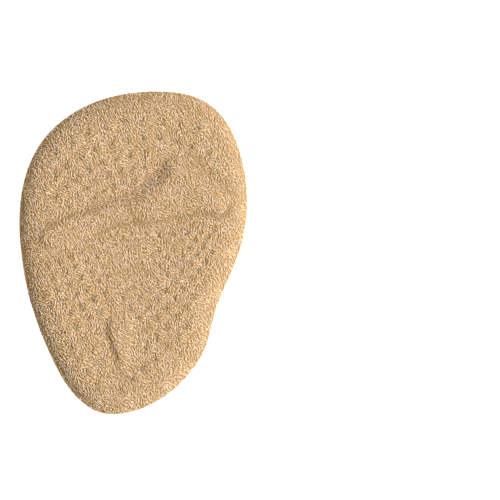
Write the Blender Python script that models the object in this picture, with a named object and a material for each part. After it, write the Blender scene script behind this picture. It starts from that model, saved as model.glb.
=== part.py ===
"""Left metatarsal pad: a moulded foam core under a pile fabric cover, one object for each.

The pad lies flat with its toe edge towards +Y and the arch of the foot towards +X.
The origin is in the middle of the flat underside. All sizes are in metres.
"""

import math
from collections import namedtuple

import bmesh
import bpy
import numpy as np
from mathutils.geometry import delaunay_2d_cdt

# Overall sizes
PAD_LENGTH = 0.100
PAD_WIDTH = 0.0706

# Foam core: a low upright edge, a rolled rim, and a slightly dished field inside it
CORE_EDGE_HEIGHT = 0.0008
CORE_RIM_HEIGHT = 0.0033
EDGE_ROLL_WIDTH = 0.0048
DISH_DEPTH = 0.0007
DISH_START = 0.0060
DISH_WIDTH = 0.0220

# Fabric cover, pressed thinner at its cut edge
COVER_THICKNESS = 0.0012
COVER_EDGE_THICKNESS = 0.0008
COVER_PRESS_WIDTH = 0.0030
PIECE_GAP = 0.0003

# Relief moulded into the top
RIDGE_HEIGHT = 0.0023
RIDGE_HEEL_FLANK_WIDTH = 0.0018
RIDGE_TOE_FLANK_WIDTH = 0.0056
BUMP_HEIGHT = 0.0013
BUMP_STEEP_FLANK_WIDTH = 0.0018
BUMP_BROAD_FLANK_WIDTH = 0.0045
DOT_HEIGHT = 0.00040
DOT_EDGE_MARGIN = 0.0063
DOT_RELIEF_MARGIN = 0.0004

# How finely the solids are divided: spacings of their points, and rings inside the rim and
# lines up a flank at shares of the edge roll's and the flank's width
CURVE_STEPS = 12
RIM_SPACING = 0.0024
COARSE_SPACING = 0.0028
FINE_SPACING = 0.0021
GRID_CLEARANCE = 0.7  # share of a grid's spacing
RELIEF_SPACING = 0.0018
STEEP_LINE_SPACING = 0.0007
BROAD_LINE_SPACING = 0.0014
DOT_SPACING = 0.0006
DOT_SHOULDER_POINTS = 5
DOT_FOOT_POINTS = 6
HIDDEN_RINGS = (0.0, 0.2, 0.6)
TOP_RINGS = (0.0, 0.05, 0.17, 0.36, 0.63, 0.92)
FLANK_LINES = (0.0, 0.5, 1.0)
SAME_POINT = 1e-9
SHARP_EDGE_ANGLE = math.radians(50.0)

# Colours, as linear red, green and blue
FABRIC_COLOUR = (0.58, 0.41, 0.24)
FOAM_COLOUR = (0.66, 0.52, 0.34)

# Places are shares of half the pad's width across and half its length along
Place = namedtuple("Place", "across along")

PAD_OUTLINE = (
    Place(0.926, -0.001),
    Place(0.999, 0.329),
    Place(0.922, 0.653),
    Place(0.793, 0.834),
    Place(0.595, 0.950),
    Place(0.245, 0.999),
    Place(-0.357, 0.928),
    Place(-0.814, 0.680),
    Place(-0.992, 0.324),
    Place(-0.986, -0.001),
    Place(-0.906, -0.298),
    Place(-0.738, -0.618),
    Place(-0.527, -0.869),
    Place(-0.301, -0.986),
    Place(-0.005, -0.981),
    Place(0.412, -0.808),
    Place(0.635, -0.579),
    Place(0.721, -0.359),
    Place(0.817, -0.189),
)

# The small teardrop bump near the heel edge: a steep outer side and a broad inner side
BUMP_STEEP_SIDE = (
    Place(-0.110, -0.379),
    Place(-0.189, -0.397),
    Place(-0.233, -0.447),
    Place(-0.224, -0.515),
    Place(-0.180, -0.602),
    Place(-0.136, -0.676),
)
BUMP_BROAD_SIDE = (
    Place(-0.083, -0.769),
    Place(-0.031, -0.688),
    Place(0.022, -0.589),
    Place(0.048, -0.503),
    Place(0.039, -0.434),
    Place(-0.022, -0.385),
)

# The ridge across the ball of the foot: a low bar that ends in a broad knob at the arch side
RidgeSection = namedtuple("RidgeSection", "across toe_edge heel_edge")

RIDGE_LEFT_TIP = Place(-0.820, 0.092)
RIDGE_RIGHT_TIP = Place(0.856, 0.296)
RIDGE_SECTIONS = (
    RidgeSection(-0.768, 0.154, 0.043),
    RidgeSection(-0.680, 0.197, 0.018),
    RidgeSection(-0.557, 0.235, 0.036),
    RidgeSection(-0.382, 0.278, 0.104),
    RidgeSection(-0.206, 0.321, 0.148),
    RidgeSection(-0.048, 0.365, 0.179),
    RidgeSection(0.075, 0.414, 0.185),
    RidgeSection(0.171, 0.470, 0.191),
    RidgeSection(0.259, 0.550, 0.204),
    RidgeSection(0.338, 0.594, 0.216),
    RidgeSection(0.443, 0.581, 0.228),
    RidgeSection(0.557, 0.544, 0.234),
    RidgeSection(0.671, 0.470, 0.234),
    RidgeSection(0.777, 0.427, 0.234),
)

# How high the ridge is on its heel and toe sides, and how broad its toe flank, along its run:
# a share of half the pad's width on a line at this bearing; the rest are shares of its own sizes
RIDGE_BEARING = math.radians(30.0)
Crest = namedtuple("Crest", "run heel_height toe_height toe_flank")

RIDGE_CRESTS = (
    Crest(-0.70, 0.20, 0.38, 0.35),
    Crest(-0.25, 0.32, 0.44, 0.32),
    Crest(0.05, 0.40, 0.46, 0.32),
    Crest(0.20, 0.38, 0.42, 0.45),
    Crest(0.42, 0.45, 0.95, 0.66),
    Crest(0.62, 0.45, 1.00, 0.75),
    Crest(0.85, 0.42, 1.00, 1.00),
    Crest(1.05, 0.35, 0.85, 1.00),
)

# Two fields of small massage dots, each on rings and rays about its own centre:
# the rings' radii are shares of the pad's length, and a staggered field shifts every other ring
DotField = namedtuple(
    "DotField",
    "toe_side centre ring_radius ring_growth ring_numbers ray_step ray_bearing ray_numbers staggered",
)

DOT_FIELDS = (
    DotField(
        toe_side=True,
        centre=Place(0.131, -0.027),
        ring_radius=0.417,
        ring_growth=0.876,
        ring_numbers=range(0, 6),
        ray_step=math.radians(7.15),
        ray_bearing=math.radians(114.8),
        ray_numbers=range(-12, 13),
        staggered=False,
    ),
    DotField(
        toe_side=False,
        centre=Place(0.265, 1.488),
        ring_radius=1.037,
        ring_growth=1.032,
        ring_numbers=range(-13, 7),
        ray_step=math.radians(3.553),
        ray_bearing=math.radians(264.1),
        ray_numbers=range(-9, 10),
        staggered=True,
    ),
)
DOT_RADIUS_TO_PITCH = 0.42

# The dots fade out in the hollow between the ridge and the bump
QUIET_CENTRE = Place(0.02, -0.05)
QUIET_REACH = Place(0.55, 0.33)
QUIET_DOT_SHARE = 0.35

Dot = namedtuple("Dot", "x y radius height toe_side")


def to_metres(places):
    """Plan points in metres for places given as shares."""
    return np.array(places, float) * (PAD_WIDTH / 2, PAD_LENGTH / 2)


def closed_curve(points):
    """A smooth closed line through the points, as a dense polygon."""
    count = len(points)
    spans = np.roll(points, -1, axis=0) - points
    lengths = np.hypot(spans[:, 0], spans[:, 1])
    slopes = spans / lengths[:, None]
    system = np.zeros((count, count))
    for here in range(count):
        before = here - 1
        after = (here + 1) % count
        system[here, before] += lengths[before]
        system[here, here] += 2 * (lengths[before] + lengths[here])
        system[here, after] += lengths[here]
    bends = np.linalg.solve(system, 6 * (slopes - np.roll(slopes, 1, axis=0)))
    curve = []
    for here in range(count):
        after = (here + 1) % count
        for step in range(CURVE_STEPS):
            part = step / CURVE_STEPS
            rest = 1 - part
            bend = (rest**3 - rest) * bends[here] + (part**3 - part) * bends[after]
            curve.append(rest * points[here] + part * points[after] + lengths[here] ** 2 / 6 * bend)
    return np.array(curve)


def evenly_spaced(curve, spacing):
    """Points at even steps round a closed polygon, about the spacing apart."""
    ends = np.vstack([curve, curve[:1]])
    travelled = np.concatenate([[0], np.cumsum(np.hypot(*np.diff(ends, axis=0).T))])
    count = round(travelled[-1] / spacing)
    stops = np.arange(count) * travelled[-1] / count
    return np.stack([np.interp(stops, travelled, ends[:, axis]) for axis in (0, 1)], axis=1)


def distance_to_line(points, line):
    """Distance from each point to the nearest place on an open line."""
    nearest = np.full(len(points), np.inf)
    for start, end in zip(line[:-1], line[1:]):
        span = end - start
        offset = points - start
        offset -= np.clip(offset @ span / (span @ span), 0, 1)[:, None] * span
        nearest = np.minimum(nearest, offset[:, 0] ** 2 + offset[:, 1] ** 2)
    return np.sqrt(nearest)


def depth_inside(points, outline):
    """Distance from each point to a closed outline, positive inside it and negative outside."""
    inside = np.zeros(len(points), bool)
    for start, end in zip(outline, np.roll(outline, -1, axis=0)):
        if start[1] != end[1]:
            beside = (start[1] > points[:, 1]) != (end[1] > points[:, 1])
            crossing = start[0] + (points[:, 1] - start[1]) * (end[0] - start[0]) / (end[1] - start[1])
            inside ^= beside & (points[:, 0] < crossing)
    distance = distance_to_line(points, np.vstack([outline, outline[:1]]))
    return np.where(inside, distance, -distance)


def inset(ring, distance):
    """An anticlockwise ring of plan points moved inwards, by one distance or one for each point."""
    tangent = np.roll(ring, -1, axis=0) - np.roll(ring, 1, axis=0)
    tangent /= np.hypot(tangent[:, 0], tangent[:, 1])[:, None]
    return ring + np.reshape(distance, (-1, 1)) * np.stack([-tangent[:, 1], tangent[:, 0]], axis=1)


def pad_outline():
    """The pad's outline at even steps, exactly its length and width about the origin."""
    curve = evenly_spaced(closed_curve(to_metres(PAD_OUTLINE)), RIM_SPACING)
    low = curve.min(axis=0)
    high = curve.max(axis=0)
    return (curve - (low + high) / 2) * (PAD_WIDTH, PAD_LENGTH) / (high - low)


def two_sided_outline(first_side, second_side):
    """The two sides of a closed anticlockwise curve, each an open line that ends where the other starts."""
    curve = closed_curve(to_metres([*first_side, *second_side]))
    turn = len(first_side) * CURVE_STEPS
    return curve[: turn + 1], np.vstack([curve[turn:], curve[:1]])


def ridge_sides():
    """The foot of the ridge: its heel edge from left to right, and its toe edge back again."""
    heel_edge = [Place(section.across, section.heel_edge) for section in RIDGE_SECTIONS]
    toe_edge = [Place(section.across, section.toe_edge) for section in reversed(RIDGE_SECTIONS)]
    return two_sided_outline([RIDGE_LEFT_TIP, *heel_edge], [RIDGE_RIGHT_TIP, *toe_edge])


def bump_sides():
    """The foot of the bump: its steep side down to the tip, and its broad side back again."""
    return two_sided_outline(BUMP_STEEP_SIDE, BUMP_BROAD_SIDE)


def join_sides(sides):
    """One closed outline from its two sides."""
    return np.vstack([side[:-1] for side in sides])


def smooth_step(share):
    """An even rise from 0 to 1, level at both ends."""
    share = np.clip(share, 0, 1)
    return share * share * (3 - 2 * share)


def raised_form(points, sides, flank_widths):
    """A rise from 0 outside a closed form to 1 inside it, over a flank of its own width on each side."""
    rise = (depth_inside(points, join_sides(sides)) > 0).astype(float)
    for side, flank_width in zip(sides, flank_widths):
        rise *= smooth_step(distance_to_line(points, side) / flank_width)
    return rise


def edge_roll(depth):
    """The rolled rim: upright at the edge, level further in."""
    return np.sqrt(1 - (1 - np.clip(depth / EDGE_ROLL_WIDTH, 0, 1)) ** 2)


def crest_column(points, column):
    """One column of the crest table at each point, read along the ridge's own run."""
    run = points @ (math.cos(RIDGE_BEARING), math.sin(RIDGE_BEARING)) / (PAD_WIDTH / 2)
    stations = [crest.run for crest in RIDGE_CRESTS]
    return np.interp(run, stations, [getattr(crest, column) for crest in RIDGE_CRESTS])


def ridge_flank_widths(points):
    """Widths of the ridge's heel flank, and of its toe flank, which broadens at the knob."""
    heel_flank = np.full(len(points), RIDGE_HEEL_FLANK_WIDTH)
    return heel_flank, RIDGE_TOE_FLANK_WIDTH * crest_column(points, "toe_flank")


def bump_flank_widths(points):
    """Widths of the bump's steep flank and of its broad one."""
    return np.full(len(points), BUMP_STEEP_FLANK_WIDTH), np.full(len(points), BUMP_BROAD_FLANK_WIDTH)


def ridge_relief(points):
    """Height of the ridge above the field."""
    from_heel_edge, from_toe_edge = (distance_to_line(points, side) for side in ridge_sides())
    toe_share = smooth_step(from_heel_edge / (from_heel_edge + from_toe_edge))
    heel_height = crest_column(points, "heel_height")
    height = heel_height + (crest_column(points, "toe_height") - heel_height) * toe_share
    return RIDGE_HEIGHT * height * raised_form(points, ridge_sides(), ridge_flank_widths(points))


def bump_relief(points):
    """Height of the bump above the field."""
    return BUMP_HEIGHT * raised_form(points, bump_sides(), bump_flank_widths(points))


def core_top(points):
    """Height of the foam's top."""
    depth = depth_inside(points, pad_outline())
    rim = CORE_EDGE_HEIGHT + (CORE_RIM_HEIGHT - CORE_EDGE_HEIGHT) * edge_roll(depth)
    dish = DISH_DEPTH * smooth_step((depth - DISH_START) / DISH_WIDTH)
    return rim - dish + ridge_relief(points) + bump_relief(points)


def cover_underside(points):
    """Height of the fabric's underside, just clear of the foam."""
    return core_top(points) + PIECE_GAP


def cover_top(points):
    """Height of the fabric's top, with its massage dots."""
    pressed = smooth_step(depth_inside(points, pad_outline()) / COVER_PRESS_WIDTH)
    thickness = COVER_EDGE_THICKNESS + (COVER_THICKNESS - COVER_EDGE_THICKNESS) * pressed
    return cover_underside(points) + thickness + dot_relief(points)


def dot_relief(points):
    """Height of the massage dots above the fabric around them."""
    height = np.zeros(len(points))
    for dot in massage_dots():
        reach = np.hypot(points[:, 0] - dot.x, points[:, 1] - dot.y) / dot.radius
        height = np.maximum(height, dot.height * (1 - np.clip(reach, 0, 1) ** 2))
    return height


def field_dots(field):
    """Every dot of one field, on its rings and rays, wherever it would fall."""
    centre = to_metres([field.centre])[0]
    for ring in field.ring_numbers:
        radius = field.ring_radius * PAD_LENGTH * field.ring_growth**ring
        shift = 0.5 if field.staggered and ring % 2 else 0.0
        ray_pitch = radius * field.ray_step
        ring_pitch = radius * abs(field.ring_growth - 1)
        pitch = math.hypot(ray_pitch / 2, ring_pitch) if field.staggered else min(ray_pitch, ring_pitch)
        for ray in field.ray_numbers:
            bearing = field.ray_bearing + (ray + shift) * field.ray_step
            x = centre[0] + radius * math.cos(bearing)
            y = centre[1] + radius * math.sin(bearing)
            yield Dot(x, y, DOT_RADIUS_TO_PITCH * pitch, DOT_HEIGHT * loudness(x, y), field.toe_side)


def loudness(x, y):
    """The share of its full height that a dot has at this place."""
    centre = to_metres([QUIET_CENTRE])[0]
    reach = to_metres([QUIET_REACH])[0]
    outwards = math.hypot((x - centre[0]) / reach[0], (y - centre[1]) / reach[1])
    return QUIET_DOT_SHARE + (1 - QUIET_DOT_SHARE) * smooth_step(outwards)


def lies_on_toe_side(points):
    """Whether each point lies on the toe side of a line along the middle of the ridge."""
    middle = [Place(section.across, (section.toe_edge + section.heel_edge) / 2) for section in RIDGE_SECTIONS]
    line = to_metres([RIDGE_LEFT_TIP, *middle, RIDGE_RIGHT_TIP])
    return points[:, 1] > np.interp(points[:, 0], line[:, 0], line[:, 1])


def massage_dots():
    """The dots that stand clear of the pad's edge, the ridge and the bump."""
    dots = [dot for field in DOT_FIELDS for dot in field_dots(field)]
    places = np.array([(dot.x, dot.y) for dot in dots])
    margins = np.array([dot.radius for dot in dots]) + DOT_RELIEF_MARGIN
    kept = lies_on_toe_side(places) == np.array([dot.toe_side for dot in dots])
    kept &= depth_inside(places, pad_outline()) >= DOT_EDGE_MARGIN
    kept &= depth_inside(places, join_sides(ridge_sides())) <= -margins
    kept &= depth_inside(places, join_sides(bump_sides())) <= -margins
    return [dot for dot, keep in zip(dots, kept) if keep]


def ring_points(x, y, radius, count, turn=0.0):
    """Evenly spaced points on a circle."""
    for number in range(count):
        bearing = math.tau * (number + turn) / count
        yield (x + radius * math.cos(bearing), y + radius * math.sin(bearing))


def hexagon_grid(spacing):
    """A grid of even triangles that covers the pad."""
    row_step = spacing * math.sqrt(3) / 2
    rows = math.ceil(PAD_LENGTH / 2 / row_step)
    columns = math.ceil(PAD_WIDTH / 2 / spacing) + 1
    for row in range(-rows, rows + 1):
        for column in range(-columns, columns + 1):
            yield ((column + 0.5 * (row % 2)) * spacing, row * row_step)


def add_clear_points(kept, candidates, spacing):
    """The kept points and each candidate in turn that is at least the spacing from all of them."""
    candidates = np.array(candidates)
    offsets = candidates[:, None] - kept[None]
    candidates = candidates[np.hypot(offsets[:, :, 0], offsets[:, :, 1]).min(axis=1) >= spacing]
    chosen = np.empty((0, 2))
    for candidate in candidates:
        offsets = chosen - candidate
        if not len(chosen) or np.hypot(offsets[:, 0], offsets[:, 1]).min() >= spacing:
            chosen = np.vstack([chosen, candidate])
    return np.vstack([kept, chosen])


def add_relief_points(kept, sides, flank_widths):
    """Points along the foot of a raised form, and along lines up its steep and its broad flank."""
    foot = evenly_spaced(join_sides(sides), RELIEF_SPACING)
    for width, spacing in zip(flank_widths(foot), (STEEP_LINE_SPACING, BROAD_LINE_SPACING)):
        lines = np.vstack([inset(foot, share * width) for share in FLANK_LINES])
        kept = add_clear_points(kept, lines, spacing)
    return kept


def add_dot_points(kept):
    """Points at the middle, round the shoulder and round the foot of each massage dot."""
    dots = massage_dots()
    shoulders = [ring_points(dot.x, dot.y, dot.radius / 2, DOT_SHOULDER_POINTS) for dot in dots]
    feet = [ring_points(dot.x, dot.y, dot.radius, DOT_FOOT_POINTS, 0.5) for dot in dots]
    kept = add_clear_points(kept, [(dot.x, dot.y) for dot in dots], DOT_SPACING)
    kept = add_clear_points(kept, [point for ring in shoulders for point in ring], DOT_SPACING / 2)
    return add_clear_points(kept, [point for ring in feet for point in ring], DOT_SPACING)


def surface_plan(ring_shares, grid_spacing, with_dots):
    """Plan points and triangles of one surface; the first points are the rim."""
    rim = pad_outline()
    insets = [share * EDGE_ROLL_WIDTH for share in ring_shares]
    kept = np.vstack([inset(rim, distance) for distance in insets])
    kept = add_relief_points(kept, ridge_sides(), ridge_flank_widths)
    kept = add_relief_points(kept, bump_sides(), bump_flank_widths)
    if with_dots:
        kept = add_dot_points(kept)
    grid = np.array(list(hexagon_grid(grid_spacing)))
    grid = grid[depth_inside(grid, rim) > max(insets) + grid_spacing / 2]
    kept = add_clear_points(kept, grid, grid_spacing * GRID_CLEARANCE)
    return triangulate(kept, len(rim))


def triangulate(points, rim_count):
    """The plan points with the triangles that join them inside the rim."""
    rim = list(range(rim_count))
    inside_only = 1
    corners, _, triangles, *_ = delaunay_2d_cdt(points.tolist(), [], [rim], inside_only, SAME_POINT)
    return np.array(corners), triangles


def base_plan():
    """Plan points and triangles of the flat underside."""
    rim = pad_outline()
    return triangulate(rim, len(rim))


def add_surface(mesh, points, triangles, heights):
    """Add one surface to a mesh and return its vertices."""
    vertices = [mesh.verts.new((x, y, z)) for (x, y), z in zip(points, heights)]
    for triangle in triangles:
        mesh.faces.new([vertices[corner] for corner in triangle])
    return vertices


def add_wall(mesh, lower, upper, count):
    """Join the rims of two surfaces with an upright wall."""
    for number in range(count):
        after = (number + 1) % count
        mesh.faces.new((lower[number], lower[after], upper[after], upper[number]))


def make_solid(name, lower_plan, lower_height, upper_plan, upper_height, material):
    """A closed solid between two height functions, smooth on top with a sharp cut edge."""
    mesh = bmesh.new()
    lower = add_surface(mesh, *lower_plan, lower_height(lower_plan[0]))
    upper = add_surface(mesh, *upper_plan, upper_height(upper_plan[0]))
    add_wall(mesh, lower, upper, len(pad_outline()))
    bmesh.ops.recalc_face_normals(mesh, faces=mesh.faces)
    data = bpy.data.meshes.new(name)
    mesh.to_mesh(data)
    mesh.free()
    data.shade_smooth()
    data.set_sharp_from_angle(angle=SHARP_EDGE_ANGLE)
    data.materials.append(material)
    bpy.context.scene.collection.objects.link(bpy.data.objects.new(name, data))


def plain_material(name, colour, roughness, sheen):
    """A dull cloth or foam material."""
    material = bpy.data.materials.new(name)
    material.use_nodes = True
    shader = material.node_tree.nodes["Principled BSDF"]
    shader.inputs["Base Color"].default_value = (*colour, 1.0)
    shader.inputs["Roughness"].default_value = roughness
    shader.inputs["Metallic"].default_value = 0.0
    shader.inputs["Sheen Weight"].default_value = sheen
    return material


def base_height(points):
    """The flat underside."""
    return np.zeros(len(points))


def coarse_plan():
    """Plan of the hidden surfaces where the fabric meets the foam."""
    return surface_plan(HIDDEN_RINGS, COARSE_SPACING, with_dots=False)


def fine_plan():
    """Plan of the top, with closer rings round the rolled edge and points on every dot."""
    return surface_plan(TOP_RINGS, FINE_SPACING, with_dots=True)


def make_foam_core():
    """The moulded foam body, flat below."""
    foam = plain_material("latex_foam", FOAM_COLOUR, roughness=0.85, sheen=0.0)
    make_solid("foam_core", base_plan(), base_height, coarse_plan(), core_top, foam)


def make_fabric_cover():
    """The pile fabric over the whole top of the foam."""
    fabric = plain_material("pile_fabric", FABRIC_COLOUR, roughness=0.95, sheen=0.4)
    make_solid("fabric_cover", coarse_plan(), cover_underside, fine_plan(), cover_top, fabric)


def clear_scene():
    """Remove every object that the scene starts with."""
    for item in list(bpy.data.objects):
        bpy.data.objects.remove(item, do_unlink=True)


clear_scene()
make_foam_core()
make_fabric_cover()
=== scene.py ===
"""Looks of the left metatarsal pad: a towelling cover with real pile tufts over a moulded foam body.

Lengths are in metres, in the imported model's frame: toe edge towards +Y, arch towards +X, +Z up.
"""

import math
from collections import namedtuple

import bpy
import numpy as np
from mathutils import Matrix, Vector
from mathutils.geometry import delaunay_2d_cdt


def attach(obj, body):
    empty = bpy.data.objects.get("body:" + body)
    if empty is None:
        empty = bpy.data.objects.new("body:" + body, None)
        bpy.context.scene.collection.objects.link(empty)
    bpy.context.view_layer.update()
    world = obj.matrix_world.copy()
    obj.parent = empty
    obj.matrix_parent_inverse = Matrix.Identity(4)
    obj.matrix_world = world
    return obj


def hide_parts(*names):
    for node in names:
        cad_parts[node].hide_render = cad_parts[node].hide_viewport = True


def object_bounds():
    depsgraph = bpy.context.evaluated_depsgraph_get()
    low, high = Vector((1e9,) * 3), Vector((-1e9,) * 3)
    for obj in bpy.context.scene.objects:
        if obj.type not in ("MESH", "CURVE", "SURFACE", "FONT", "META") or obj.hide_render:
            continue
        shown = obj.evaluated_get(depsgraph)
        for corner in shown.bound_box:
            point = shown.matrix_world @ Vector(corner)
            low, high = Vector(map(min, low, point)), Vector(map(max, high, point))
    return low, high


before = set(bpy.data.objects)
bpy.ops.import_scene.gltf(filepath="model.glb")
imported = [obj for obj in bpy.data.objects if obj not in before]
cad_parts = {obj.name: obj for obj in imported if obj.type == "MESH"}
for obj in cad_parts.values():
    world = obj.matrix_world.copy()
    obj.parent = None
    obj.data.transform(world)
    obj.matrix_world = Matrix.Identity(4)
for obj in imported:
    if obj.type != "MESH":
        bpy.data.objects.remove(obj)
cad_low, cad_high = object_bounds()

# The pad's size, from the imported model
PAD_WIDTH = cad_high.x - cad_low.x
PAD_LENGTH = cad_high.y - cad_low.y

# Foam body
CORE_EDGE_HEIGHT = 0.0008
CORE_RIM_HEIGHT = 0.0033
EDGE_ROLL_WIDTH = 0.0066
DISH_DEPTH = 0.0007
DISH_START = 0.0060
DISH_WIDTH = 0.0220
FOAM_EDGE_ROUNDING = 0.0002

# Cover: the height of its top over the foam, thinner at the pressed edge, and the cloth under its pile
COVER_RISE = 0.0015
COVER_EDGE_RISE = 0.0011
COVER_PRESS_WIDTH = 0.0030
GLUE_LINE = 0.00005
PILE_DEPTH = 0.00032
CLOTH_INSET = 0.00022

# Relief moulded into the top
RIDGE_HEIGHT = 0.0023
RIDGE_HEEL_FLANK_WIDTH = 0.0018
RIDGE_TOE_FLANK_WIDTH = 0.0056
BUMP_HEIGHT = 0.0010
BUMP_STEEP_FLANK_WIDTH = 0.0018
BUMP_BROAD_FLANK_WIDTH = 0.0045
DOT_HEIGHT = 0.00065
DOT_EDGE_MARGIN = 0.0063
DOT_RELIEF_MARGIN = 0.0004

# How finely the surfaces are divided
CURVE_STEPS = 24
RIM_SPACING = 0.0009
FOAM_GRID_SPACING = 0.0016
CLOTH_GRID_SPACING = 0.00068
FOAM_RINGS = (0.0, 0.04, 0.12, 0.25, 0.45, 0.7, 1.0)
CLOTH_RINGS = (0.0, 0.01, 0.03, 0.07, 0.13, 0.22, 0.34, 0.48, 0.64, 0.82, 1.0)
SAME_POINT = 1e-9
SHARP_EDGE_ANGLE = math.radians(50.0)

# Places are shares of half the pad's width across and half its length along
Place = namedtuple("Place", "across along")

PAD_OUTLINE = (
    Place(0.926, -0.001),
    Place(0.999, 0.329),
    Place(0.922, 0.653),
    Place(0.793, 0.834),
    Place(0.595, 0.950),
    Place(0.245, 0.999),
    Place(-0.357, 0.928),
    Place(-0.814, 0.680),
    Place(-0.992, 0.324),
    Place(-0.986, -0.001),
    Place(-0.906, -0.298),
    Place(-0.738, -0.618),
    Place(-0.527, -0.869),
    Place(-0.301, -0.986),
    Place(-0.005, -0.981),
    Place(0.412, -0.808),
    Place(0.635, -0.579),
    Place(0.721, -0.359),
    Place(0.817, -0.189),
)

# The small teardrop bump near the heel edge: a steep outer side and a broad inner side
BUMP_STEEP_SIDE = (
    Place(-0.110, -0.379),
    Place(-0.189, -0.397),
    Place(-0.233, -0.447),
    Place(-0.224, -0.515),
    Place(-0.180, -0.602),
    Place(-0.136, -0.676),
)
BUMP_BROAD_SIDE = (
    Place(-0.083, -0.769),
    Place(-0.031, -0.688),
    Place(0.022, -0.589),
    Place(0.048, -0.503),
    Place(0.039, -0.434),
    Place(-0.022, -0.385),
)

# The ridge across the ball of the foot: a low bar that ends in a broad knob at the arch side
RidgeSection = namedtuple("RidgeSection", "across toe_edge heel_edge")

RIDGE_LEFT_TIP = Place(-0.820, 0.092)
RIDGE_RIGHT_TIP = Place(0.856, 0.296)
RIDGE_SECTIONS = (
    RidgeSection(-0.768, 0.154, 0.043),
    RidgeSection(-0.680, 0.197, 0.018),
    RidgeSection(-0.557, 0.235, 0.036),
    RidgeSection(-0.382, 0.278, 0.104),
    RidgeSection(-0.206, 0.321, 0.148),
    RidgeSection(-0.048, 0.365, 0.179),
    RidgeSection(0.075, 0.414, 0.185),
    RidgeSection(0.171, 0.470, 0.191),
    RidgeSection(0.259, 0.550, 0.204),
    RidgeSection(0.338, 0.594, 0.216),
    RidgeSection(0.443, 0.581, 0.228),
    RidgeSection(0.557, 0.544, 0.234),
    RidgeSection(0.671, 0.470, 0.234),
    RidgeSection(0.777, 0.427, 0.234),
)

# How high the ridge is on its heel and toe sides, and how broad its toe flank, along its run:
# a share of half the pad's width on a line at this bearing; the rest are shares of its own sizes
RIDGE_BEARING = math.radians(30.0)
Crest = namedtuple("Crest", "run heel_height toe_height toe_flank")

RIDGE_CRESTS = (
    Crest(-0.70, 0.20, 0.36, 0.35),
    Crest(-0.25, 0.32, 0.42, 0.35),
    Crest(0.05, 0.40, 0.46, 0.48),
    Crest(0.20, 0.38, 0.55, 0.72),
    Crest(0.42, 0.45, 0.95, 0.88),
    Crest(0.62, 0.45, 1.00, 0.88),
    Crest(0.85, 0.42, 1.00, 1.00),
    Crest(1.05, 0.35, 0.85, 1.00),
)

# Two fields of small massage dots, each on rings and rays about its own centre:
# the rings' radii are shares of the pad's length, and a staggered field shifts every other ring
DotField = namedtuple(
    "DotField",
    "toe_side centre ring_radius ring_growth ring_numbers ray_step ray_bearing ray_numbers staggered",
)
Dot = namedtuple("Dot", "x y radius height toe_side")

DOT_FIELDS = (
    DotField(
        toe_side=True,
        centre=Place(0.165, -0.108),
        ring_radius=0.407,
        ring_growth=0.883,
        ring_numbers=range(-1, 6),
        ray_step=math.radians(7.14),
        ray_bearing=math.radians(113.1),
        ray_numbers=range(-12, 13),
        staggered=False,
    ),
    DotField(
        toe_side=False,
        centre=Place(0.280, 1.486),
        ring_radius=1.034,
        ring_growth=1.0317,
        ring_numbers=range(-13, 7),
        ray_step=math.radians(3.586),
        ray_bearing=math.radians(263.9),
        ray_numbers=range(-9, 10),
        staggered=True,
    ),
)
DOT_RADIUS_TO_PITCH = 0.42

# The dots fade out in the hollow between the ridge and the bump
QUIET_CENTRE = Place(0.02, -0.05)
QUIET_REACH = Place(0.55, 0.33)
QUIET_DOT_SHARE = 0.35

# Pile: looped tufts of soft yarn, each a bowed tube with both feet in the cloth
TRY_SPACING = 0.00019
TUFT_GAP_ALONG = 0.00078
TUFT_GAP_ACROSS = 0.00035
TUFT_EDGE_MARGIN = 0.00028
TUFT_SPAN = 0.00106
TUFT_SPAN_SPREAD = 0.30
TUFT_HEIGHT = 0.00027
TUFT_HEIGHT_SPREAD = 0.30
TUFT_FOOT_DEPTH = 0.00012
TUFT_RADIUS = 0.000135
TUFT_RADIUS_SPREAD = 0.15
TUFT_FOOT_SHARE = 0.65
TUFT_BOW = 0.00010
TUFT_LEAN = math.radians(16.0)
TUFT_RINGS = 6
TUFT_SIDES = 4
RIM_TUFT_WIDTH = 0.0010
RIM_TUFT_SPAN_SHARE = 0.62
SLOPE_STEP = 0.00018
PILE_LAYERS = 5
NEAR_CELLS = [(column, row) for column in (-1, 0, 1) for row in (-1, 0, 1)]

# The way the tufts lie: down from left to right, combed in some patches and mixed in others
STREAK_BEARING = math.radians(128.0)
SWIRL_TURN = math.radians(28.0)
SWIRL_LENGTH = 0.0080
PATCH_LENGTH = 0.0150
COMBED_TURN_SPREAD = math.radians(8.0)
MIXED_TURN_SPREAD = math.radians(32.0)
PILE_SEED = 20

# A wandering value is a sum of waves: how many, how long they are, and the reach that counts as 1
WANDER_WAVES = 24
WANDER_LENGTHS = (0.7, 1.6)  # shares of the wavelength asked for
WANDER_REACH = 1.6

# Each tuft's cell on the flat map, in shares of the cell: the tube's walls above, its two end caps below
WALL_CORNER = (0.05, 0.27)
WALL_SIZE = (0.9, 0.68)
CAP_RADIUS = 0.08
CAP_CENTRES = ((0.25, 0.12), (0.75, 0.12))

# Painted shade in the creases along the feet of the ridge and the bump, where shade falls in the pile:
# how broad each is, and the share of its brightness that it takes away
HEEL_CREASE_START = -0.30
HEEL_CREASE_SHADE = (0.0006, 0.30)
TIP_CREASE_REACH = 0.0030
TIP_CREASE_SHADE = (0.0006, 0.18)
TOE_CREASE_END = 0.36
TOE_CREASE_SHADE = (0.0007, 0.13)
BUMP_CREASE_SHADE = (0.0006, 0.12)

# Marks from one place to another: painted shade in dents and hollows, painted light (paler) on lit sides, and
# a stain
Crease = namedtuple("Crease", "line width depth")
Mark = namedtuple("Mark", "name start end width depth")

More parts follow.
